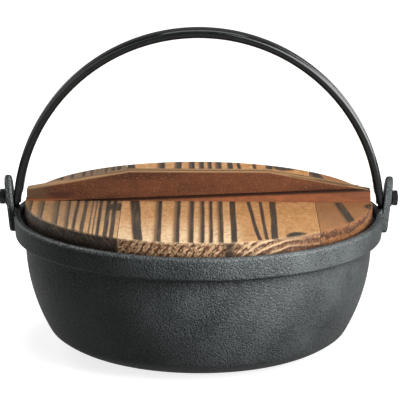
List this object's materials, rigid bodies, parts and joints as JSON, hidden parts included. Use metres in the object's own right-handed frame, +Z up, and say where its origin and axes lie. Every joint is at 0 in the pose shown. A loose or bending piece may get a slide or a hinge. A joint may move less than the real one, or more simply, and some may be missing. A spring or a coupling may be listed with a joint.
{
  "type": "cast iron stew pot",
  "caption": "Flat-based cast iron bowl with a banded rim, a swinging flat steel bail bolted to cast ears, and a loose boarded wooden lid with a dovetailed batten handle.",
  "frame": {"origin": "middle of the flat base, on the surface the pot stands on", "axes": "+Z up, +X through the two ears and along the lid handle, +Y to the back"},
  "size_m": [0.291, 0.268, 0.2315],
  "materials": {
    "pot_iron": "sand-cast, blackened",
    "bail_steel": "satin black",
    "fasteners": "blackened",
    "lid_wood": "scorched and brushed",
    "handle_wood": "scorched and brushed"
  },
  "bodies": {
    "pot": {"pot_body": "pot_iron", "left_pivot_bolt": "fasteners", "left_washer": "fasteners", "left_nut": "fasteners", "right_pivot_bolt": "fasteners", "right_washer": "fasteners", "right_nut": "fasteners"},
    "bail": {"bail": "bail_steel"},
    "lid": {"lid_board_left": "lid_wood", "lid_board_centre": "lid_wood", "lid_board_right": "lid_wood", "lid_handle": "handle_wood"}
  },
  "joints": [
    {"name": "bail_swing", "type": "hinge", "parent": "pot", "child": "bail", "pos_m": [0, 0, 0.1075], "axis": [1, 0, 0], "range_deg": [-60, 60]},
    {"name": "lid_lift", "type": "slide", "parent": "pot", "child": "lid", "axis": [0, 0, 1], "range_m": [0, 0.0065]}
  ]
}
